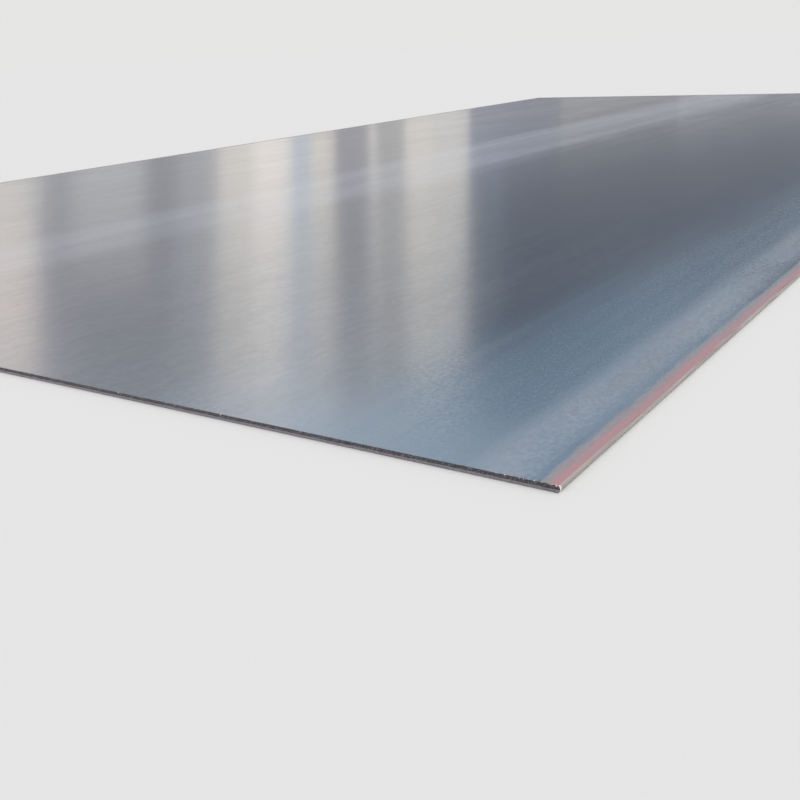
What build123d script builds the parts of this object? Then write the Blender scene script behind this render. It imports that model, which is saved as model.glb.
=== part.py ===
"""A hot-rolled steel plate, cut to length from a coil and left with its mill edges.

X runs across the width, Y runs along the rolling direction and Z is up. The origin is at the
middle of the underside, so the plate lies on Z = 0.
"""

import os

from build123d import *

# Overall size in millimetres, one that such plate is sold in
width = 1250.0
length = 2500.0
thickness = 3.0

# A long side is the edge that rolling left, never cut: a round nose that swells out this far
mill_edge_bulge = 0.8

# An end is sheared. The blade rounds one arris over and cuts an upright land below it. The rest
# of the thickness then tears, and the torn face leans back to the other arris
rollover_radius = 0.3
land_height = 1.1
tear_setback = 0.2

# Both sections are drawn about the middle of the thickness
middle = (0, 0, thickness / 2)
section_across = Plane(origin=middle, x_dir=(1, 0, 0), z_dir=(0, -1, 0))
section_along = Plane(origin=middle, x_dir=(0, 1, 0), z_dir=(1, 0, 0))

with BuildPart() as steel_plate:
    # The rolled section: two flat faces between the round noses of the mill edges
    with BuildSketch(section_across):
        with BuildLine():
            for side in (1, -1):
                nose_end = side * (width / 2 - mill_edge_bulge)
                nose = ThreePointArc(
                    (nose_end, side * thickness / 2),
                    (side * width / 2, 0),
                    (nose_end, -side * thickness / 2),
                )
                Line(nose @ 1, (-nose_end, -side * thickness / 2))
        make_face()
    extrude(amount=length / 2, both=True)

    # The sheared ends: both were cut by the same blade, one from each side of its stroke, so one
    # is the other turned half round. The far end has its rollover on top, the near end below
    with BuildSketch(section_along):
        with BuildLine():
            for end in (1, -1):
                rollover = JernArc(
                    start=(end * (length / 2 - rollover_radius), end * thickness / 2),
                    tangent=(end, 0),
                    radius=rollover_radius,
                    arc_size=-90,
                )
                land = Line(rollover @ 1, rollover @ 1 - Vector(0, end * land_height))
                torn_arris = (end * (length / 2 - tear_setback), -end * thickness / 2)
                tear = Line(land @ 1, torn_arris)
                Line(tear @ 1, (-end * (length / 2 - rollover_radius), -end * thickness / 2))
        make_face()
    extrude(amount=width / 2, both=True, mode=Mode.INTERSECT)

steel_plate.part.label = "steel_plate"

os.makedirs("parts", exist_ok=True)
export_step(steel_plate.part, "parts/steel_plate.step")
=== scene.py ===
# %% [markdown]
# # A hot-rolled steel plate
#
# This lesson dresses the CAD model of a steel plate, 1250 mm by 2500 mm and 3 mm thick. A plate
# looks like the simplest thing there is to model. What makes one look real is its edges, its
# finish and what it mirrors, so that is where the work goes.
#
# The CAD model comes in first. It is fixed, and everything here is in its frame: metres, with X
# across the width, Y along the rolling direction, and Z up from the underside.

# %% Tools and the frame
import math
from collections import Counter

import bpy
from mathutils import Matrix, Vector


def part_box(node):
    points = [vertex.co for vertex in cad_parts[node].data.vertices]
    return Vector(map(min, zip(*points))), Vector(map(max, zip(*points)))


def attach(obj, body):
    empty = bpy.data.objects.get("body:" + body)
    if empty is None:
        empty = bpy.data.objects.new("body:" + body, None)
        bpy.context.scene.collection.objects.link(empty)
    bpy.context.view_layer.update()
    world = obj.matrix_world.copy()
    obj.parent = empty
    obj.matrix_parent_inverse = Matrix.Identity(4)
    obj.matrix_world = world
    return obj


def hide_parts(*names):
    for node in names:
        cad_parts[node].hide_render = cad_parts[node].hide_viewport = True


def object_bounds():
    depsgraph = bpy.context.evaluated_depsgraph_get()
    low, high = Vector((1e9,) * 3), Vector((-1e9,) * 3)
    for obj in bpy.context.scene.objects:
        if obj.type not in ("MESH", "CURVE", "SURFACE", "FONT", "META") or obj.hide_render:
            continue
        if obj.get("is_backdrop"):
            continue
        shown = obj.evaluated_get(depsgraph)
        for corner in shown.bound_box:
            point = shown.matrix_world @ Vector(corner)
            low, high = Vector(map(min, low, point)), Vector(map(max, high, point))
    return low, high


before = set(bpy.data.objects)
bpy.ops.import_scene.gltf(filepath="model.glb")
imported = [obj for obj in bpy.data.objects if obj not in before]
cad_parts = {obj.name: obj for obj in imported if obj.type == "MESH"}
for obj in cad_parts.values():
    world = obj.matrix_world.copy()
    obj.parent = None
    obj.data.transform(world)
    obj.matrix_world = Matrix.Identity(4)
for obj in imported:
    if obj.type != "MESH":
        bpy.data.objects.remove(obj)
cad_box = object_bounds()
low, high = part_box("steel_plate")
width, length, thickness = high - low
mm = 0.001
print(f"The plate is {width / mm:.0f} x {length / mm:.0f} x {thickness / mm:.1f} mm")

# %% [markdown]
# ## A short way to write nodes
#
# The shape and the finish below are both node trees with a lot of arithmetic in them. A Wire is one
# output of a node, and Python's own operators on it add the Math nodes, so a rule reads as it would
# on paper. Every other node comes from Tree.node, which takes a node's type, its settings, and the
# values or wires of its inputs.


# %% Wires: sums that add Math nodes
class Wire:
    """One output of a node. A sum written with it adds the Math nodes that work it out."""

    def __init__(self, tree, socket):
        self.tree, self.socket = tree, socket

    def also(self, name):
        """Another output of the same node."""
        return Wire(self.tree, self.socket.node.outputs[name])

    def math(self, operation, *terms):
        return self.tree.node("ShaderNodeMath", {"operation": operation}, dict(enumerate(terms)))

    def __add__(self, other):
        return self.math("ADD", self, other)

    def __radd__(self, other):
        return self.math("ADD", other, self)

    def __sub__(self, other):
        return self.math("SUBTRACT", self, other)

    def __rsub__(self, other):
        return self.math("SUBTRACT", other, self)

    def __mul__(self, other):
        return self.math("MULTIPLY", self, other)

    def __rmul__(self, other):
        return self.math("MULTIPLY", other, self)

    def __truediv__(self, other):
        return self.math("DIVIDE", self, other)

    def __rtruediv__(self, other):
        return self.math("DIVIDE", other, self)

    def __pow__(self, other):
        return self.math("POWER", self, other)

    def __gt__(self, other):
        return self.math("GREATER_THAN", self, other)

    def __lt__(self, other):
        return self.math("LESS_THAN", self, other)

    def __abs__(self):
        return self.math("ABSOLUTE", self)

    def at_least(self, other):
        return self.math("MAXIMUM", self, other)

    def at_most(self, other):
        return self.math("MINIMUM", self, other)

    def root(self):
        return self.math("SQRT", self)

    def cosine(self):
        return self.math("COSINE", self)


# %% Trees: every other kind of node
class Tree:
    """A node tree that is being written."""

    def __init__(self, data):
        self.data = data

    def node(self, kind, settings={}, inputs={}):
        """Adds a node and returns the first of its outputs that is in use."""
        node = self.data.nodes.new(kind)
        for name, value in settings.items():
            setattr(node, name, value)
        for name, value in inputs.items():
            socket = node.inputs[name] if isinstance(name, int) else in_use(node.inputs, name)
            for given in value if isinstance(value, list) else [value]:
                if isinstance(given, Wire):
                    self.data.links.new(given.socket, socket)
                else:
                    socket.default_value = given
        return Wire(self, in_use(node.outputs)) if node.outputs else None


def in_use(sockets, name=None):
    """The first socket of that name that the node's settings leave in use."""
    return next(s for s in sockets if s.enabled and name in (None, s.name))


# %% Vectors and noise
def split(vector):
    """The X, Y and Z of a vector."""
    parts = vector.tree.node("ShaderNodeSeparateXYZ", inputs={0: vector})
    return [parts.also(axis) for axis in "XYZ"]


def joined(tree, x, y, z):
    """A vector of X, Y and Z."""
    return tree.node("ShaderNodeCombineXYZ", inputs={0: x, 1: y, 2: z})


def grain(place, patch, detail=2.0, roughness=0.5):
    """Soft noise about 0.5, whose patches have the size `patch` along X, Y and Z."""
    scaled = place.tree.node(
        "ShaderNodeVectorMath", {"operation": "DIVIDE"}, {0: place, 1: patch}
    )
    inputs = {"Vector": scaled, "Scale": 1.0, "Detail": detail, "Roughness": roughness}
    return place.tree.node("ShaderNodeTexNoise", {}, inputs)


def swing(noise, reach):
    """Noise that goes up and down about 0, by up to half the reach."""
    return (noise - 0.5) * reach


def ranged(least, most, share):
    """A value that goes from least to most as a share goes from 0 to 1."""
    return least + share * (most - least)


# %% [markdown]
# ## Geometry Nodes from a script
#
# Each shape below is a Geometry Nodes tree with named inputs, so that someone who opens the tree
# can change a size. A modifier runs the tree once, and the result is kept as a plain mesh, because
# an exported model can't hold a modifier.

# %% Building a tree, and running it
SOCKET_TYPES = {
    float: "NodeSocketFloat",
    int: "NodeSocketInt",
    bpy.types.Material: "NodeSocketMaterial",
    bpy.types.Object: "NodeSocketObject",
}


def geometry_tree(name, given):
    """A tree with a named input for each given value, and those inputs as wires."""
    data = bpy.data.node_groups.new(name, "GeometryNodeTree")
    data.interface.new_socket("Geometry", in_out="OUTPUT", socket_type="NodeSocketGeometry")
    for title, value in given.items():
        kind = SOCKET_TYPES[type(value)]
        data.interface.new_socket(title, in_out="INPUT", socket_type=kind)
    tree = Tree(data)
    first = tree.node("NodeGroupInput")
    return tree, [first.also(title) for title in given]


def finish_tree(tree, geometry, finish):
    """Ends a tree: real faces in place of instances, and the finish on them."""
    real = tree.node("GeometryNodeRealizeInstances", {}, {"Geometry": geometry})
    painted = tree.node("GeometryNodeSetMaterial", {}, {"Geometry": real, "Material": finish})
    tree.node("NodeGroupOutput", {}, {"Geometry": painted})


def grow(name, tree, given):
    """Runs the tree and keeps what it makes as a plain mesh object."""
    piece = bpy.data.objects.new(name, bpy.data.meshes.new(name))
    bpy.context.scene.collection.objects.link(piece)
    modifier = piece.modifiers.new(name, "NODES")
    modifier.node_group = tree.data
    for socket in tree.data.interface.items_tree:
        if socket.in_out == "INPUT":
            modifier[socket.identifier] = given[socket.name]
    evaluated = piece.evaluated_get(bpy.context.evaluated_depsgraph_get())
    piece.data = bpy.data.meshes.new_from_object(evaluated)
    piece.modifiers.remove(modifier)
    triangles = sum(len(face.vertices) - 2 for face in piece.data.polygons)
    print(f"{name}: {len(piece.data.vertices)} points, {triangles} triangles")
    return piece


# %% [markdown]
# ## The plate's shape
#
# Four different edges bound a plate like this. Its two long sides are mill edges: nobody has cut
# them, and rolling left them as round noses that swell out a little. Its two ends are sheared. A
# shear first rounds one arris over, then cuts an upright land, and then the rest tears. The near
# end has its torn part on top, and the far end has it below.
#
# A bevelled box could stand in for that, but the section changes from the sides to the ends. So the
# plate starts as a square box of unit size, and one rule moves every point of it into place. In the
# box, p and q run from -1 to 1 across the width and along the length, and the points of its walls
# stand in numbered rows. The last rows at the top and at the bottom are folded over onto the flat
# faces, so that an arris has points on both its sides.

# %% The tree's inputs
mill_steel = bpy.data.materials.new("mill_steel")
plate_inputs = {
    "Width": width,
    "Length": length,
    "Thickness": thickness,
    "Mill edge bulge": 0.8 * mm,
    "Rollover radius": 0.3 * mm,
    "Land height": 1.1 * mm,
    "Tear setback": 0.2 * mm,
    "Tear roughness": 0.25 * mm,
    "Burr height": 1.0 * mm,
    "Mill edge roughness": 0.1 * mm,
    "Wave height": 0.13 * mm,
    "Finish": mill_steel,
}
tree, wires = geometry_tree("plate", plate_inputs)
full_width, full_length, full_height, bulge, rollover, land, setback = wires[:7]
tear_roughness, burr_height, mill_roughness, wave_height, finish = wires[7:]
print(f"The plate's tree has {len(wires)} inputs")

# %% [markdown]
# ## A map for the export
#
# Other programs can't read a node material, so an export bakes it into a picture, through a UV map.
# An unwrapping tool would give each part of the plate room by its area. That leaves an edge that is
# 3 mm high on a 2500 mm plate about one pixel. This map is laid out instead, in upright
# bands: most of it for the top face, less for the underside, and a band of its own for each edge.
# On the two faces, the outer 25 mm, where the finish changes fastest, get more room as well.

# %% Bands of the bake map
BAKE_MAP = "OFBake"
ALONG = (0.005, 0.995)
TOP_BAND, UNDERSIDE_BAND = (0.005, 0.600), (0.612, 0.846)
# An edge is known by its turn about the middle of the plate, in degrees
near_end, right_side, far_end, left_side = 0, 90, 180, 270
edge_bands = {
    right_side: (0.856, 0.896),
    left_side: (0.904, 0.934),
    near_end: (0.942, 0.974),
    far_end: (0.982, 0.997),
}
print(f"The top face gets {TOP_BAND[1] - TOP_BAND[0]:.0%} of the map's width")


def mapped(geometry, band, across, along):
    """Gives each face corner its place on the bake map, from two shares of its band."""
    left, right = band
    bottom, top = ALONG
    place_on_map = joined(tree, ranged(left, right, across), ranged(bottom, top, along), 0.0)
    stored = {"Geometry": geometry, "Name": BAKE_MAP, "Value": place_on_map}
    settings = {"data_type": "FLOAT2", "domain": "CORNER"}
    return tree.node("GeometryNodeStoreNamedAttribute", settings, stored)


def widened(place, span, edge, edge_share):
    """How far along a span a place is, from 0 to 1, where each edge takes up a fixed share."""
    half_middle = span / 2 - edge
    from_centre = abs(place)
    inner = from_centre.at_most(half_middle) * (0.5 - edge_share) / half_middle
    outer = (from_centre - half_middle).at_least(0.0) * (edge_share / edge)
    side = (place > 0.0) * 2 - 1
    return 0.5 + side * (inner + outer)


# %% [markdown]
# The box's walls are four grids. The camera looks at the near end and at the right side from close
# by, so those two have a column of points every millimetre or so. The other two, which it never
# sees, have one every 4 mm.

# %% Four walls of the unit box
rows, rows_folded = 17, 2
last_row = rows - 1
box_weld = 1e-4
column_spacing = {
    near_end: (width, 0.8 * mm),
    right_side: (length, 1.25 * mm),
    far_end: (width, 4 * mm),
    left_side: (length, 4 * mm),
}
walls, columns = [], 0
for turn, (span, spacing) in column_spacing.items():
    steps = round(span / spacing)
    columns += steps
    grid_inputs = {
        "Size X": 2.0,
        "Size Y": float(last_row),
        "Vertices X": steps + 1,
        "Vertices Y": rows,
    }
    grid = tree.node("GeometryNodeMeshGrid", {}, grid_inputs)
    along_wall, up_wall = split(grid.also("UV Map"))[:2]
    grid = mapped(grid, edge_bands[turn], 1 - up_wall, along_wall)
    angle = math.radians(turn)
    stand = {
        "Geometry": grid,
        "Rotation": (math.pi / 2, 0, angle),
        "Translation": (math.sin(angle), -math.cos(angle), last_row / 2),
    }
    walls.append(tree.node("GeometryNodeTransform", {}, stand))
box = tree.node("GeometryNodeJoinGeometry", {}, {"Geometry": walls})
box = tree.node("GeometryNodeMergeByDistance", {}, {"Geometry": box, "Distance": box_weld})
p, q, row = split(tree.node("GeometryNodeInputPosition"))
print(f"The walls have {columns} columns of {rows} points")

# %% [markdown]
# The rule itself has three parts: the height of a row, how far in the nose of a mill edge lies at
# that height, and how far in a sheared end lies there. The noise in it is what a smooth bevel
# never has: a torn face, streaks along a mill edge, and a burr that stands up from the torn arris.
# Sculpting could make those too, but not to a tenth of a millimetre over 7.5 metres of edge.

# %% Heights, closest together at the arrises
past_arris = (rows_folded - row).at_least(row - (last_row - rows_folded)).at_least(0.0)
share = (row - rows_folded) / (last_row - 2 * rows_folded)
share = share.at_least(0.0).at_most(1.0)
z = (1 - (share * math.pi).cosine()) * full_height / 2
first_fold, fold_growth = 0.3 * mm, 2.75
fold = first_fold * past_arris**fold_growth
off_fold = (1 - past_arris).at_least(0.0)
plain_place = joined(tree, p * full_width / 2, q * full_length / 2, z)

# %% Mill edges: an arc through both arrises and the widest line, streaked lengthwise
streak_size = (1.0, 45 * mm, 0.45 * mm)
half_height = full_height / 2
nose_radius = (half_height * half_height + bulge * bulge) / (2 * bulge)
from_middle = z - half_height
nose = nose_radius - (nose_radius * nose_radius - from_middle * from_middle).root()
nose = nose + swing(grain(plain_place, streak_size), mill_roughness) * off_fold

# %% Sheared ends: the far one is the near one turned upside down
ragged_size = (2.4 * mm, 1.0, 0.7 * mm)
ragged_growth = 8
climb = z + (q > 0) * (full_height - 2 * z)
rounding = (rollover - climb).at_least(0.0)
sheared = rollover - (rollover * rollover - rounding * rounding).root()
torn = (climb - rollover - land).at_least(0.0) / (full_height - rollover - land)
sheared = sheared + setback * torn
ragged = swing(grain(plain_place, ragged_size, 3.0), tear_roughness)
sheared = sheared + ragged * (torn * ragged_growth).at_most(1.0) * off_fold

# %% The burr: crests here and there on the near end's torn arris, more of them at the corners
crest_size, crest_steepness = (1.9 * mm, 1.0, 1.0), 5
corner_from, corner_growth = 0.97, 33
burr_at_middle = 0.15
near_wall, top_of_tear, burr_fade = -0.9999, 0.98, 0.75
crests = swing(grain(plain_place, crest_size), crest_steepness).at_least(0.0)
at_corner = (abs(p) - corner_from).at_least(0.0) * corner_growth
on_near_arris = (q < near_wall) * (torn > top_of_tear)
on_near_arris = on_near_arris * (1 - past_arris * burr_fade).at_least(0.0)
burr = crests * (burr_at_middle + at_corner) * burr_height * on_near_arris

# %% The rule, applied to the walls
x = p * (full_width / 2 - nose - fold)
y = q * (full_length / 2 - sheared - fold)
placed = {"Geometry": box, "Position": joined(tree, x, y, z + burr)}
rim = tree.node("GeometryNodeSetPosition", {}, placed)
print(f"The rule takes {len(tree.data.nodes)} nodes so far")

# %% [markdown]
# The flat faces close the ring that the walls make. One huge polygon for each would close it too,
# but a face that has thousands of corners shades badly and can't take a wave. So each gets a coarse
# grid in its middle and a belt of triangles out to the points of the rim: Fill Curve makes that
# belt from the two outlines.

# %% A coarse grid for the middle of a flat face
apron, cell = 25 * mm, 25 * mm
cells_across = round((width - 2 * apron) / cell)
cells_along = round((length - 2 * apron) / cell)
grid_inputs = {
    "Size X": full_width - 2 * apron,
    "Size Y": full_length - 2 * apron,
    "Vertices X": cells_across + 1,
    "Vertices Y": cells_along + 1,
}
field = tree.node("GeometryNodeMeshGrid", {}, grid_inputs)
print(f"The middle of a flat face has {cells_across} x {cells_along} cells")

# %% Flat faces
edge_share_across, edge_share_along = 0.1, 0.03
shell_weld = 0.004 * mm


def outline(mesh, which=1.0):
    """The open edges of a mesh, as a curve."""
    faces_beside = mesh.tree.node("GeometryNodeInputMeshEdgeNeighbors")
    chosen = {"Mesh": mesh, "Selection": (faces_beside < 1.5) * which}
    return mesh.tree.node("GeometryNodeMeshToCurve", {}, chosen)


def flat_face(on_top):
    """The belt and the middle of one flat face, at its height and facing out of the plate."""
    x, y, height = split(tree.node("GeometryNodeInputPosition"))
    which = height > half_height if on_top else height < half_height
    outlines = [outline(rim, which), outline(field)]
    curves = tree.node("GeometryNodeJoinGeometry", {}, {"Geometry": outlines})
    belt = tree.node("GeometryNodeFillCurve", {}, {"Curve": curves})
    whole = tree.node("GeometryNodeJoinGeometry", {}, {"Geometry": [belt, field]})
    across = widened(x, full_width, apron, edge_share_across)
    along = widened(y, full_length, apron, edge_share_along)
    if on_top:
        whole = mapped(whole, TOP_BAND, across, along)
        lift = {"Geometry": whole, "Translation": joined(tree, 0.0, 0.0, full_height)}
        return tree.node("GeometryNodeTransform", {}, lift)
    whole = mapped(whole, UNDERSIDE_BAND, 1 - across, along)
    return tree.node("GeometryNodeFlipFaces", {}, {"Mesh": whole})


parts = [rim, flat_face(True), flat_face(False)]
shell = tree.node("GeometryNodeJoinGeometry", {}, {"Geometry": parts})
shell = tree.node("GeometryNodeMergeByDistance", {}, {"Geometry": shell, "Distance": shell_weld})

# %% [markdown]
# Rolled plate is never quite flat, so last of all the whole plate takes on long low waves, about a
# tenth of a millimetre high. They are far too low to see, but they bend what the plate mirrors. A
# bump in the material could do that as well. A real wave costs nothing more, and it is still there
# after an export.

# %% Waves, shading, and the finished mesh
wave_size = (260 * mm, 380 * mm, 10.0)
wave_lift = 0.3
crease = math.radians(45)
waves = grain(tree.node("GeometryNodeInputPosition"), wave_size, 1.5) - 0.5
raised = {"Geometry": shell, "Offset": joined(tree, 0.0, 0.0, (waves + wave_lift) * wave_height)}
shell = tree.node("GeometryNodeSetPosition", {}, raised)
smooth = tree.node("GeometryNodeInputMeshEdgeAngle") < crease
shell = tree.node("GeometryNodeSetShadeSmooth", {"domain": "FACE"}, {"Geometry": shell})
shaded = {"Geometry": shell, "Shade Smooth": smooth}
shell = tree.node("GeometryNodeSetShadeSmooth", {"domain": "EDGE"}, shaded)
finish_tree(tree, shell, finish)
plate = grow("steel_plate_dressed", tree, plate_inputs)
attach(plate, "root")
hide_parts("steel_plate")
faces_beside = Counter(key for face in plate.data.polygons for key in face.edge_keys)
open_edges = sum(count != 2 for count in faces_beside.values())
print(f"Edges that don't have two faces: {open_edges}")

# %% [markdown]
# ## Crumbs and chips from the shear
#
# A shear throws bright crumbs of steel over the plate, and it leaves chips stuck to the torn arris,
# most of them at the corners. Speckles in the material could stand in for them, but close to the
# camera each one stands up from the plate and breaks its outline. There are too many to place by
# hand, so one tree strews crumbs over the top of the finished plate, and another one sets chips
# along the arris. Random numbers from fixed seeds pick their places, so a rerun gives the same ones.


# %% A lump of steel
def random_number(tree, seed, least=0.0, most=1.0):
    """A random number for each point."""
    draw = {"Min": least, "Max": most, "Seed": seed}
    return tree.node("FunctionNodeRandomValue", {}, draw)


def crumb(tree, flatness):
    """A lump with twenty faces and no regular shape, one unit across."""
    dent_size, least, most = (0.4, 0.4, 0.4), 0.55, 1.45
    ball = tree.node("GeometryNodeMeshIcoSphere", {}, {"Radius": 0.5, "Subdivisions": 1})
    place = tree.node("GeometryNodeInputPosition")
    x, y, z = split(place)
    dent = ranged(least, most, grain(place, dent_size, 0.0))
    shaped = {"Geometry": ball, "Position": joined(tree, x * dent, y * dent, z * dent * flatness)}
    return tree.node("GeometryNodeSetPosition", {}, shaped)


full_turn = 2 * math.pi

# %% Crumbs on the top face: most of them are about a quarter of the largest size
torn_steel = bpy.data.materials.new("torn_steel")
crumb_inputs = {
    "Plate": plate,
    "Crumbs per square metre": 45.0,
    "Largest size": 1.5 * mm,
    "Seed": 7,
    "Finish": torn_steel,
}
tree, (plate_in, density, largest, seed, finish) = geometry_tree("steel_crumbs", crumb_inputs)
surface = tree.node("GeometryNodeObjectInfo", {}, {"Object": plate_in}).also("Geometry")
faces_up = split(tree.node("GeometryNodeInputNormal"))[2] > 0.9
strewn = {"Mesh": surface, "Selection": faces_up, "Density": density, "Seed": seed}
points = tree.node("GeometryNodeDistributePointsOnFaces", {}, strewn)
size = largest * ranged(0.25, 1.0, random_number(tree, 1) ** 4)
turn = random_number(tree, 2, 0.0, full_turn)
stretch = random_number(tree, 3, 0.5, 1.0)
set_out = {
    "Points": points,
    "Instance": crumb(tree, flatness=0.3),
    "Rotation": joined(tree, 0.0, 0.0, turn),
    "Scale": joined(tree, size, size * stretch, size),
}
finish_tree(tree, tree.node("GeometryNodeInstanceOnPoints", {}, set_out), finish)
crumbs = grow("steel_crumbs", tree, crumb_inputs)
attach(crumbs, "root")

# %% [markdown]
# The chips sit in a row along the torn arris. The tree starts with a line of evenly spaced points,
# shifts each a little, and puts a chip on some of them. The chance of one is small until close to
# the corners, where the blade lets the plate go.

# %% Places for chips along the near end's torn arris
chip_inputs = {
    "Width": width,
    "Length": length,
    "Thickness": thickness,
    "Largest size": 1.3 * mm,
    "Finish": torn_steel,
}
chip_places = 900
inset = 0.3 * mm
tree, wires = geometry_tree("shear_chips", chip_inputs)
full_width, full_length, full_height, largest, finish = wires
step = full_width * (1 / chip_places)
start = joined(tree, step / 2 - full_width / 2, inset - full_length / 2, full_height)
arris = {
    "Count": chip_places,
    "Start Location": start,
    "Offset": joined(tree, step, 0.0, 0.0),
}
line = tree.node("GeometryNodeMeshLine", {}, arris)
shift = joined(
    tree,
    random_number(tree, 1, -0.6 * mm, 0.6 * mm),
    random_number(tree, 2, -0.1 * mm, 0.25 * mm),
    random_number(tree, 3, -0.15 * mm, 0.1 * mm),
)
line = tree.node("GeometryNodeSetPosition", {}, {"Geometry": line, "Offset": shift})
print(f"There are {chip_places} places for a chip, {width / chip_places / mm:.1f} mm apart")

# %% Chips on some of those places
least_chance, most_chance, nearness = 0.05, 0.95, 45
from_middle = abs(split(tree.node("GeometryNodeInputPosition"))[0]) / (full_width / 2)
chosen = random_number(tree, 4) < ranged(least_chance, most_chance, from_middle**nearness)
size = largest * ranged(0.35, 1.0, random_number(tree, 5) ** 2)
tumbled = joined(tree, *(random_number(tree, seed, 0.0, full_turn) for seed in (6, 7, 8)))
set_out = {
    "Points": line,
    "Selection": chosen,
    "Instance": crumb(tree, flatness=0.5),
    "Rotation": tumbled,
    "Scale": joined(tree, size, size, size),
}
finish_tree(tree, tree.node("GeometryNodeInstanceOnPoints", {}, set_out), finish)
chips = grow("shear_chips", tree, chip_inputs)
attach(chips, "root")

# %% [markdown]
# ## The finish
#
# Mill scale is a thin skin of oxide that grows while the hot strip is rolled and coiled. It is
# blue-grey and half glossy, with a duller streaky band near the middle of the plate. Towards a mill
# edge, where the air gets into the coil, it turns bluer and speckled, then rougher, and then comes
# a paler band with warm patches in it. The last few millimetres have rusted. A haze lies along the
# sheared ends.
#
# A wrapped picture couldn't hold all that: the pink rust is 5 mm wide on a plate 2500 mm long. So
# the material is a rule of a point's distance from the edges. Everything in it comes from rolling,
# so its noise is stretched along Y, and that noise keeps the zones from having straight borders.


# %% Distances over the plate, in millimetres
def fresh_tree(owner):
    """The node tree of a material or a world, emptied."""
    owner.use_nodes = True
    owner.node_tree.nodes.clear()
    return Tree(owner.node_tree)


steel = fresh_tree(mill_steel)
on_plate = steel.node("ShaderNodeTexCoord").also("Object")
x, y, z = split(on_plate)
from_mill_edge = (width / 2 - abs(x)) / mm
from_end = (length / 2 - abs(y)) / mm
climb = (z + (y > 0) * (thickness - 2 * z)) / mm


# %% Masks, and colours laid over each other
def beyond(value, edge, soft):
    """0 below the edge and 1 above it, with a soft step between."""
    reach = {"Value": value, "From Min": edge - soft / 2, "From Max": edge + soft / 2}
    return value.tree.node("ShaderNodeMapRange", {"interpolation_type": "SMOOTHSTEP"}, reach)


def within(value, edge, soft):
    """1 below the edge and 0 above it, with a soft step between."""
    return 1 - beyond(value, edge, soft)


def between(value, first, last, soft):
    """1 between two edges, with a soft step at each."""
    return beyond(value, first, soft) - beyond(value, last, soft)


def mixed(tree, under, over, share):
    """One colour over another, by a share from 0 to 1."""
    blend = {"Factor": share, "A": under, "B": over}
    return tree.node("ShaderNodeMix", {"data_type": "RGBA"}, blend)


def plate_noise(across, along, detail=3.0, roughness=0.5):
    """Noise over the plate, in patches of that size across and along it, in millimetres."""
    return grain(on_plate, (across * mm, along * mm, across * mm), detail, roughness)


# %% Noise that the zones share, from the finest to the widest
fine = plate_noise(0.5, 0.9, detail=2.0)
border = plate_noise(1.2, 14, roughness=0.6)
speckle = plate_noise(2.4, 3.2, roughness=0.7)
patches = plate_noise(6, 60)
rolled = plate_noise(9, 900)
cloudy = plate_noise(110, 260, detail=4.0, roughness=0.6)
glints = beyond(plate_noise(1.5, 2.2, detail=1.0), 0.68, 0.05)
mottle = beyond(speckle, 0.5, 0.3)
grit = beyond(plate_noise(5, 14, detail=2.0, roughness=0.8), 0.5, 0.25)
bands = beyond(plate_noise(14, 420), 0.5, 0.3)
streaky = beyond(plate_noise(30, 1400, roughness=0.6), 0.5, 0.35)
clouds = beyond(cloudy, 0.5, 0.35)
wide_clouds = beyond(cloudy, 0.5, 0.5)
print(f"The noise takes {len(steel.data.nodes)} nodes")

# %% [markdown]
# ### Zones as masks
#
# A mask is a number that is 1 inside a zone and 0 outside it. Painting masks by hand would be the
# other way to make them, but painted ones have a resolution, and these have none. Each border below
# is a pair: how far from the edge it lies and how wide its soft step is, in millimetres. Noise is
# added to the distance first, so that the border wanders. Beside the left mill edge the same zones
# are weaker, because the two edges of a coil seldom weather alike.

# %% The speckled zone, its rougher part, the pale band and the haze
SPECKLED_BORDER = (140.0, 95.0)
COARSE_BORDER = (100.0, 80.0)
PALE_FROM, PALE_TO, PALE_SOFT = 18.0, 44.0, 18.0
HAZE_BORDER, HAZE_WIDTH = (50.0, 90.0), (215.0, 70.0)
LEFT_STRENGTH = 0.15
wander = swing(cloudy, 90) + swing(speckle, 40)
strength = ranged(LEFT_STRENGTH, 1.0, x > 0)
speckled_zone = strength * within(from_mill_edge + wander, *SPECKLED_BORDER)
coarse_zone = strength * within(from_mill_edge + wander, *COARSE_BORDER)
pale_band = between(from_mill_edge + wander * 0.3, PALE_FROM, PALE_TO, PALE_SOFT) * strength
pale_band = pale_band * (0.2 + wide_clouds * 0.6 + mottle * 0.35)
at_right_corner = within(from_mill_edge, *HAZE_WIDTH) * strength
end_haze = within(from_end + wander, *HAZE_BORDER) * ranged(0.3, 1.0, mottle)
end_haze = end_haze * ranged(0.3, 1.0, at_right_corner)

# %% The duller band near the middle: it is wider and stronger towards the far end
BAND_LEFT, BAND_RIGHT = (-115.0, 60.0), (10.0, 90.0)
BAND_WIDENS, WIDENING = (-700.0, 500.0), 65
BAND_STRENGTHENS, NEAR_STRENGTH = (-350.0, 500.0), 0.65
across = x / mm + swing(cloudy, 60)
widening = beyond(y / mm, *BAND_WIDENS) * WIDENING
dull_band = beyond(across, *BAND_LEFT) - beyond(across - widening, *BAND_RIGHT)
dull_band = dull_band.at_least(0.0) * ranged(0.65, 1.35, streaky)
dull_band = dull_band * ranged(NEAR_STRENGTH, 1.0, beyond(y / mm, *BAND_STRENGTHENS))

# %% [markdown]
# ### The scale
#
# The colours go over each other like coats of paint, from the middle of the plate out to its edge.
# On a metal, Base Color is the tint of what it mirrors, so a colour has to be judged in a render.
# Roughness does as much as colour here: the scale is rougher where it is coarse, pale or hazed.

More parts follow.
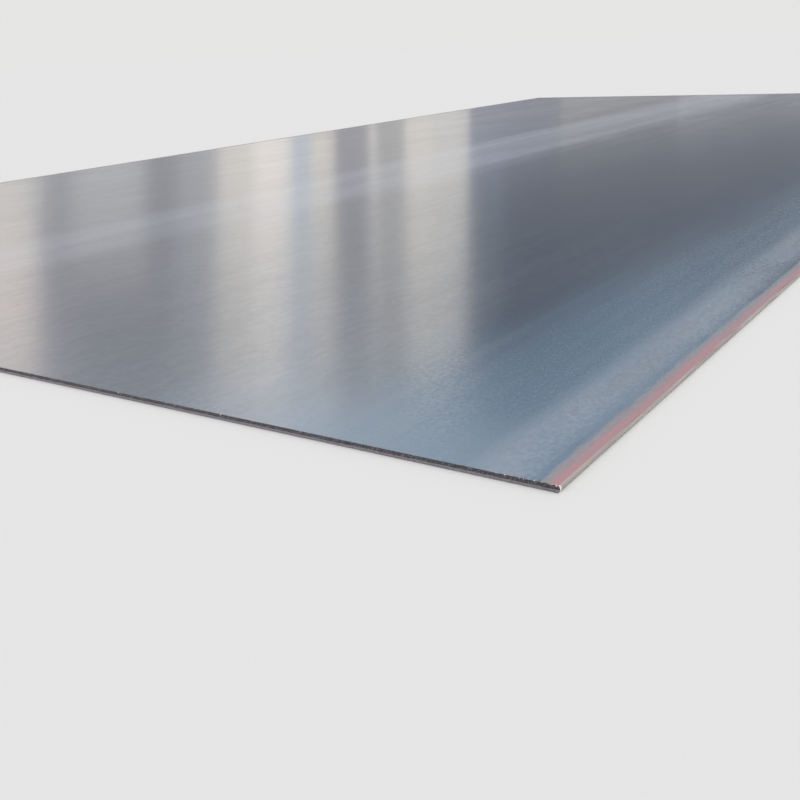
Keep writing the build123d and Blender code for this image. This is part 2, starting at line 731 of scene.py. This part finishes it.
# %% Colours of the plain scale and the duller band
BLUE_GREY = (0.36, 0.395, 0.43, 1)
DARKER = (0.29, 0.32, 0.36, 1)
DULL_BLUE = (0.405, 0.455, 0.52, 1)
darkening = clouds * 0.25 + streaky * 0.2 + grit * 0.4 + mottle * 0.1
colour = mixed(steel, BLUE_GREY, DARKER, darkening * (1 - speckled_zone))
colour = mixed(steel, colour, DULL_BLUE, (dull_band * 0.5).at_most(1.0))

# %% Colours of the speckled zone: it fades towards the edge, and has painted glints except at the ends
DARK_BLUE = (0.222, 0.305, 0.39, 1)
# A painted glint: pale specks in the base colour of the speckled zone
PAINTED_GLINT = (0.60, 0.64, 0.68, 1)
FADES_FROM, GLINTS_FROM = (22.0, 22.0), (70.0, 60.0)
darkest = ranged(0.25, 1.0, mottle) * ranged(0.45, 1.0, beyond(from_mill_edge, *FADES_FROM))
darkest = (darkest * ranged(0.78, 1.22, bands)).at_most(1.0)
painted_glints = speckled_zone * glints * beyond(from_end + wander, *GLINTS_FROM)
colour = mixed(steel, colour, DARK_BLUE, speckled_zone * darkest)
colour = mixed(steel, colour, PAINTED_GLINT, painted_glints * 0.55)

# %% Colours of the pale band and the haze, and the roughness of it all
PALE = (0.48, 0.50, 0.54, 1)
WARM = (0.50, 0.43, 0.42, 1)
HAZE = (0.43, 0.48, 0.54, 1)
PLAIN_ROUGHNESS = 0.165
warm_patches = beyond(patches, 0.55, 0.12)
colour = mixed(steel, colour, PALE, pale_band)
colour = mixed(steel, colour, WARM, pale_band * warm_patches * 0.35)
colour = mixed(steel, colour, HAZE, (end_haze * 0.6).at_most(1.0))
rough = PLAIN_ROUGHNESS + swing(rolled, 0.06) + swing(cloudy, 0.07) + mottle * 0.02
rough = rough + coarse_zone * ranged(0.05, 0.17, mottle) + pale_band * 0.1 + end_haze * 0.06
print(f"With the scale, mill_steel has {len(steel.data.nodes)} nodes")

# %% [markdown]
# ### Rust beside the mill edge
#
# About 12 mm from the edge the scale ends in a thin dark line. Past it the steel has rusted, in a
# grey-green strip and a pink one along the very edge. Rust is no metal, so it lowers Metallic as
# well, and its own colour shows in place of what the plate mirrors. A second material could hold
# the strips, but then their borders would have to follow the faces of the mesh.

# %% A thin dark line, a grey-green strip and a pink one
LINE_BLUE = (0.13, 0.19, 0.27, 1)
GREY_GREEN = (0.24, 0.25, 0.25, 1)
PINK = (0.49, 0.245, 0.27, 1)
LINE_FROM, LINE_TO, LINE_SOFT = 9.5, 13.5, 2.5
GREY_BORDER, PINK_BORDER = (9.0, 3.5), (5.2, 1.8)
from_ragged_edge = from_mill_edge + swing(border, 4.5) + swing(patches, 3)
dark_line = between(from_ragged_edge, LINE_FROM, LINE_TO, LINE_SOFT) * beyond(patches, 0.5, 0.2)
grey_strip = within(from_ragged_edge, *GREY_BORDER)
pink_strip = within(from_ragged_edge, *PINK_BORDER)
grey_alone = (grey_strip - pink_strip).at_least(0.0)
lengthwise = beyond(plate_noise(0.8, 28, roughness=0.6), 0.5, 0.3)
pinkness = pink_strip * (0.2 + lengthwise * 0.5 + patches * 0.6).at_most(1.0)
pinkness = pinkness + grey_alone * (lengthwise * 0.3 + mottle * 0.15)
colour = mixed(steel, colour, LINE_BLUE, dark_line * 0.3)
colour = mixed(steel, colour, GREY_GREEN, grey_strip * ranged(0.55, 0.95, mottle))
colour = mixed(steel, colour, PINK, pinkness)
rusty = grey_strip * 0.8
rough = rough + grey_strip * 0.28

# %% [markdown]
# ### The nose of the mill edge
#
# Rolling and handling have rubbed the round nose in streaks. Beside the sheared end the nose has a
# painted highlight, near-white for about 1.5 mm, where light glints off its corner. The nose could
# have a material of its own, but it is only 0.8 mm wide seen from above, and the distance from the
# edge finds it just as well.

# %% The nose, streaked lengthwise, with a painted highlight beside each sheared end
NOSE_PALE = (0.39, 0.385, 0.36, 1)
NOSE_DARK = (0.21, 0.145, 0.145, 1)
# A painted highlight: near-white base colour within about 1.5 mm of the sheared end
HIGHLIGHT_WHITE = (0.82, 0.80, 0.79, 1)
NOSE_BORDER, HIGHLIGHT_BORDER = (0.8, 0.3), (1.5, 1.2)
on_nose = within(from_mill_edge, *NOSE_BORDER)
nose_streak = beyond(plate_noise(0.35, 60), 0.44, 0.2)
painted_highlight = within(from_end + swing(speckle, 3), *HIGHLIGHT_BORDER)
nose_colour = mixed(steel, NOSE_DARK, NOSE_PALE, nose_streak)
nose_colour = mixed(steel, nose_colour, HIGHLIGHT_WHITE, painted_highlight)
colour = mixed(steel, colour, nose_colour, on_nose)

# %% [markdown]
# ### The sheared ends
#
# On the land the blade has scored the steel from top to bottom. The torn part is a rough, dark
# fracture with pale crystals in it. All the colours of the end are also darkened as painted shade,
# because the end faces away from the light. Two more materials could be put on those faces, but the
# line between land and tear is ragged and doesn't follow the mesh. So the distance from the end
# finds both, and the height, counted from the side that the blade came from, tells one from the
# other.

# %% A pale land with upright scores, and the dark torn part, all darkened further as painted shade
# The end's own tones, darkened as painted shade for a face turned away from the light
LAND_AND_SHADE = (0.33, 0.305, 0.345, 1)
SCORED_AND_SHADE = (0.18, 0.165, 0.195, 1)
TORN_AND_SHADE = (0.045, 0.042, 0.05, 1)
TORN_PALE_AND_SHADE = (0.19, 0.17, 0.16, 1)
END_BORDER, TORN_BORDER = (0.5, 0.2), (1.4, 0.25)
on_end = within(from_end, *END_BORDER)
score = grain(on_plate, (0.35 * mm, 1.0, 5 * mm), 3.0)
ragged_line = grain(on_plate, (3 * mm, 1.0, 1.0), 3.0)
crystals = grain(on_plate, (0.9 * mm, 1.0, 0.6 * mm), 3.0, 0.7)
torn_share = beyond(climb + swing(ragged_line, 0.9), *TORN_BORDER)
torn_colour_and_shade = mixed(steel, TORN_AND_SHADE, TORN_PALE_AND_SHADE, beyond(crystals, 0.57, 0.16))
end_colour_and_shade = mixed(steel, LAND_AND_SHADE, SCORED_AND_SHADE, beyond(score, 0.5, 0.3) * 0.7)
end_colour_and_shade = mixed(steel, end_colour_and_shade, torn_colour_and_shade, torn_share)
colour = mixed(steel, colour, end_colour_and_shade, on_end)
rusty = rusty * (1 - on_end) + on_end * ranged(0.35, 0.95, torn_share)
rough = rough + on_end * ranged(0.2, 0.4, torn_share)

# %% [markdown]
# ### Bumps
#
# The finest relief is in the bump: the speckles of the coarse zone, the grain of the rust, and the
# scores and crystals of the sheared ends. All of it is under a fifth of a millimetre high, which as
# real faces would take a hundred million of them. The heights are in millimetres.


# %% Heights, and the shader
def end_material(tree, inputs):
    """Ends a material in one Principled shader."""
    shader = tree.node("ShaderNodeBsdfPrincipled", {}, inputs)
    tree.node("ShaderNodeOutputMaterial", {}, {"Surface": shader})


height = swing(speckle, 0.004 + coarse_zone * 0.03) + swing(fine, 0.004)
height = height + swing(fine, (rusty + on_nose) * 0.05)
height = height + on_end * (swing(score, 0.08) + torn_share * swing(crystals, 0.2))
bump = steel.node("ShaderNodeBump", {}, {"Height": height * mm, "Strength": 1.0, "Distance": 1.0})
shader_inputs = {
    "Base Color": colour,
    "Metallic": 1 - rusty - dull_band * 0.48,
    "Roughness": rough,
    "Normal": bump,
}
end_material(steel, shader_inputs)
print(f"The finished mill_steel has {len(steel.data.nodes)} nodes")

# %% [markdown]
# ### Torn steel
#
# Where steel has just torn it is bright, and no two chips have the same tone. The near-white silver
# tone is partly a painted glint as well. A material for each tone would be a lot of materials.
# Geometry's Random Per Island gives each loose crumb or chip a number of its own, and that number
# picks its tone.

# %% The finish of the crumbs and chips
REDDISH = (0.50, 0.36, 0.36, 1)
# Near-white silver: the tone of bright torn steel, and partly a painted glint
SILVER_AND_GLINT = (0.88, 0.86, 0.86, 1)
STAINED = (0.30, 0.24, 0.22, 1)
torn = fresh_tree(torn_steel)
own = torn.node("ShaderNodeNewGeometry").also("Random Per Island")
facets = grain(torn.node("ShaderNodeTexCoord").also("Object"), (0.3 * mm, 0.3 * mm, 0.3 * mm))
chip_tone_and_glint = mixed(torn, REDDISH, SILVER_AND_GLINT, beyond(own, 0.35, 0.4))
shader_inputs = {
    "Base Color": mixed(torn, chip_tone_and_glint, STAINED, beyond(facets, 0.62, 0.1)),
    "Metallic": 0.35,
    "Roughness": 0.3 + facets * 0.3,
}
end_material(torn, shader_inputs)
print(f"torn_steel has {len(torn.data.nodes)} nodes")

# %% [markdown]
# ## The studio
#
# A half-glossy plate seen along its top shows hardly any colour of its own: it shows what stands
# around it. So this studio has a plain pale floor, a soft light, and a set of upright cards that
# only the plate mirrors.
#
# The camera comes first, because the cards are placed from it. It stands low, just off the plate's
# near right corner. A small shift moves the middle of the lens off the middle of the picture, as
# when a picture has been cropped.

# %% Camera, at the photograph's viewing angle
camera_place = Vector((0.7785, -1.5758, 0.1734))
heading, tilt, roll = (math.radians(angle) for angle in (33.946, -20.047, -2.99))
camera = bpy.data.objects.new("camera", bpy.data.cameras.new("camera"))
camera.matrix_world = (
    Matrix.Translation(camera_place)
    @ Matrix.Rotation(heading, 4, "Z")
    @ Matrix.Rotation(math.pi / 2 + tilt, 4, "X")
    @ Matrix.Rotation(roll, 4, "Z")
)
camera.data.lens = 43.72
camera.data.sensor_width = 36.0
camera.data.shift_x = -0.025
camera.data.clip_start = 0.01
bpy.context.scene.collection.objects.link(camera)
bpy.context.scene.camera = camera
print(f"The camera is {camera_place.z / mm:.0f} mm above the floor")

# %% [markdown]
# The floor is one large matt square, a tenth of a millimetre below the plate so that the two never
# share a surface. It has no specular, or it would mirror the backdrop at this low angle and turn
# glossy towards the horizon.


# %% Floor
def flat_sheet(name, corners, paint):
    """A sheet with four corners, for the studio."""
    mesh = bpy.data.meshes.new(name)
    mesh.from_pydata(corners, [], [(0, 1, 2, 3)])
    mesh.materials.append(paint)
    sheet = bpy.data.objects.new(name, mesh)
    bpy.context.scene.collection.objects.link(sheet)
    return sheet


def level_square(half, height):
    """The corners of a level square that is centred on the plate."""
    return [Vector((a * half, b * half, height)) for a, b in ((-1, -1), (1, -1), (1, 1), (-1, 1))]


floor_half, floor_height = 40.0, -0.1 * mm
floor_paint = bpy.data.materials.new("floor_paint")
matt = {"Base Color": (0.8, 0.8, 0.79, 1), "Roughness": 0.8, "Specular IOR Level": 0.0}
end_material(fresh_tree(floor_paint), matt)
floor = flat_sheet("floor", level_square(floor_half, floor_height), floor_paint)
floor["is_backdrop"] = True
print(f"The floor is {2 * floor_half:.0f} m wide")

# %% [markdown]
# ### Cards that only the mirror sees
#
# A photographer sets cards behind a shiny thing, pale ones for bright columns in it and dark ones
# for depth. These do the same. A picture wrapped around the world would be the other way to fill
# the mirror, but a card can be moved and repainted by itself. They glow in one plain tone each,
# light nothing and cast no shadow.
#
# A card is given by where its mirror image is for the camera: the headings of its two sides, left
# of +Y, and the heights of its foot and its top, all in degrees. The further left a side is, the
# more it leans outwards.

# %% Tools for the cards
FOOT = 1.3
STRAIGHT_HEADING, MIDDLE_RISE = 30.8, 8.0
LEAN_PER_DEGREE, LEAST_LEAN = 0.011, 0.05


def end_glowing(tree, colour):
    """Ends a material that glows in that colour and shows no light that falls on it."""
    glow = tree.node("ShaderNodeEmission", {}, {"Color": colour})
    tree.node("ShaderNodeOutputMaterial", {}, {"Surface": glow})


def mirror_card(name, corners, paint):
    """A flat card that shows in the mirror, and neither lights the scene nor shades it."""
    card = flat_sheet(name, corners, paint)
    card.visible_camera = card.visible_diffuse = card.visible_shadow = False
    card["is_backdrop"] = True


def upright(distance, left, right, left_top, right_top, foot=FOOT):
    """The corners of an upright card, from where its mirror image is for the camera."""
    corners = []
    for side, rise in ((left, foot), (right, foot), (right, right_top), (left, left_top)):
        lean = max(LEAST_LEAN, (side - STRAIGHT_HEADING) * LEAN_PER_DEGREE)
        turn = math.radians(side + lean * (rise - MIDDLE_RISE))
        level = distance * math.tan(math.radians(rise)) - camera_place.z
        aside, ahead = -distance * math.sin(turn), distance * math.cos(turn)
        corners.append(Vector((camera_place.x + aside, camera_place.y + ahead, level)))
    return corners


# %% Paints for the cards
CARD_COLOURS = {
    "warm_white": (1.12, 1.03, 0.96),
    "cream": (0.91, 0.85, 0.79),
    "pale_grey": (0.84, 0.80, 0.76),
    "blue_white": (0.68, 0.725, 0.77),
    "sun_white": (1.12, 0.98, 0.90),
    "light_grey": (0.66, 0.645, 0.65),
    "mid_grey": (0.56, 0.545, 0.54),
    "cool_grey": (0.51, 0.51, 0.53),
    "low_grey": (0.46, 0.45, 0.475),
    "shade": (0.40, 0.395, 0.42),
    "dusk": (0.235, 0.26, 0.305),
    "lavender": (0.40, 0.43, 0.52),
    "dark": (0.178, 0.193, 0.23),
}
paints = {}
for name, colour in CARD_COLOURS.items():
    paints[name] = bpy.data.materials.new(f"card_{name}")
    end_glowing(fresh_tree(paints[name]), (*colour, 1))
print(f"{len(paints)} paints for the cards")

# %% Pale strips, from left to right
BACK = 11.0
DARK_FROM, LAST_HEADING = 30.5, -25.0
# Each strip: heading of its left side, height of its top, and paint
strips = [
    (85.0, 9.0, "pale_grey"),
    (54.8, 25.0, "low_grey"),
    (52.2, 25.0, "shade"),
    (47.4, 25.0, "cool_grey"),
    (45.1, 24.0, "cream"),
    (43.0, 24.0, "warm_white"),
    (40.9, 23.0, "blue_white"),
    (39.7, 23.0, "cream"),
    (38.3, 22.0, "shade"),
    (36.3, 22.0, "pale_grey"),
    (35.8, 22.0, "mid_grey"),
    (34.2, 21.5, "cream"),
    (32.7, 21.5, "pale_grey"),
]
right_sides = [left for left, top, paint in strips[1:]] + [DARK_FROM]
for number, ((left, top, paint), right) in enumerate(zip(strips, right_sides)):
    mirror_card(f"strip_{number}", upright(BACK, left, right, top, top), paints[paint])
print(f"{len(strips)} pale strips, from {strips[0][0]} to {DARK_FROM} degrees left of +Y")

# %% [markdown]
# Above the strips at the far left there is a bright sunny card, and to the right of the last strip
# the cards are dark. Lower ones stand in front: two steps before the pale strips, and before the
# dark cards a row that gets lower to the right.

# %% The other cards
MIDDLE, STEPS, FRONT, VERY_FRONT = 10.5, 10.0, 9.0, 8.5
# Each card: its name and paint, its distance, the headings of its left and right side, the height
# of its top at each, and the height of its foot
cards = [
    ("high_sunny", "sun_white", BACK, 85.0, 54.3, 32.0, 32.0, 9.0),
    ("high_shade", "cool_grey", MIDDLE, 38.3, 36.3, 21.5, 21.5, 14.0),
    ("dark_edge", "dusk", MIDDLE, DARK_FROM, 28.4, 20.0, 19.5, FOOT),
    ("dark_left", "dark", BACK, DARK_FROM, 20.0, 22.0, 16.5, FOOT),
    ("dark_middle", "dark", BACK, 20.0, 0.0, 16.5, 14.0, FOOT),
    ("dark_right", "dark", BACK, 0.0, LAST_HEADING, 14.0, 14.0, FOOT),
    ("step_left", "light_grey", STEPS, 53.1, 49.1, 10.8, 10.8, FOOT),
    ("step_right", "low_grey", STEPS, 38.3, 36.3, 8.6, 8.6, FOOT),
    ("low_1", "low_grey", FRONT, DARK_FROM, 25.4, 5.1, 5.1, FOOT),
    ("low_1_top", "lavender", VERY_FRONT, DARK_FROM, 25.4, 7.3, 6.0, 4.9),
    ("low_2", "mid_grey", FRONT, 25.4, 19.0, 5.9, 4.9, FOOT),
    ("low_3", "light_grey", FRONT, 19.0, 14.0, 4.9, 4.2, FOOT),
    ("low_4", "light_grey", FRONT, 14.0, LAST_HEADING, 4.2, 4.0, FOOT),
]
for name, paint, *place in cards:
    mirror_card(name, upright(*place), paints[paint])
print(f"{len(cards)} other cards above, beside and before them")

# %% [markdown]
# ### The card overhead
#
# Close to the camera the plate mirrors what is high up. A sky of one tone there would make the whole
# near part of the plate one tone too. This level card is cool daylight that is stronger on the
# left, and it turns to a plain grey above the plate and behind the camera.

# %% A level card of cool daylight
DEEP_SKY = (0.53, 0.67, 0.80, 1)
PALE_SKY = (0.80, 0.88, 0.97, 1)
GREY_SKY = (0.74, 0.75, 0.76, 1)
sky_height, sky_reach = 4.0, 10.5
PALE_SKY_FROM, DAYLIGHT_FROM = (0.6, 2.4), (2.5, 5.0)
sky_paint = bpy.data.materials.new("card_sky")
sky = fresh_tree(sky_paint)
x, y, z = split(sky.node("ShaderNodeTexCoord").also("Object"))
turn = math.radians(DARK_FROM)
leftwards = (camera_place.x - x) * math.cos(turn) + (camera_place.y - y) * math.sin(turn)
ahead = y * math.cos(turn) - x * math.sin(turn)
daylight = mixed(sky, DEEP_SKY, PALE_SKY, beyond(leftwards, *PALE_SKY_FROM))
daylight = mixed(sky, GREY_SKY, daylight, beyond(ahead, *DAYLIGHT_FROM))
end_glowing(sky, daylight)
mirror_card("sky", level_square(sky_reach, sky_height), sky_paint)
print(f"The sky card hangs {sky_height:.0f} m up")

# %% [markdown]
# ### Light
#
# The world lights everything evenly, a little more weakly than it looks: the camera and the mirror
# see a backdrop of its own plain tone, and Light Path tells their rays from the ones that light.
# One sun, so wide that its shadows are soft, gives the plate its faint shadow. An area lamp would be
# as soft, but brighter on the floor beneath it, and a sun is equally strong all over.

# %% The room around the plate
ROOM_LIGHT = (0.70, 0.71, 0.73, 1)
BACKDROP = (0.785, 0.785, 0.78, 1)
world = bpy.data.worlds.new("room")
bpy.context.scene.world = world
room = fresh_tree(world)
path = room.node("ShaderNodeLightPath")
seen = path.also("Is Camera Ray") + path.also("Is Glossy Ray") + path.also("Is Transmission Ray")
backdrop = mixed(room, ROOM_LIGHT, BACKDROP, seen.at_most(1.0))
background = room.node("ShaderNodeBackground", {}, {"Color": backdrop})
room.node("ShaderNodeOutputWorld", {}, {"Surface": background})

# %% One soft sun, and plain colours on the screen
shines_towards = Vector((-3.0, 1.2, -2.6))
sun = bpy.data.lights.new("key_right", "SUN")
sun.angle = math.radians(100)
sun.energy = 1.4
sun.color = (1.0, 0.97, 0.93)
lamp = bpy.data.objects.new("key_right", sun)
lamp.rotation_euler = shines_towards.to_track_quat("-Z", "Y").to_euler()
bpy.context.scene.collection.objects.link(lamp)
bpy.context.scene.view_settings.view_transform = "Standard"
print(f"The sun is {math.degrees(sun.angle):.0f} degrees wide")

# %% [markdown]
# ## The last checks
#
# The dressed plate has to stay the size of the CAD model, so the script works out both boxes and
# prints how much larger the dressed plate is.

# %% Both boxes, and the end
visual_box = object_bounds()
grown = [(b - a) / mm for a, b in zip(cad_box[1] - cad_box[0], visual_box[1] - visual_box[0])]
print("The dressed plate is larger than the CAD model by", [f"{g:.2f}" for g in grown], "mm")
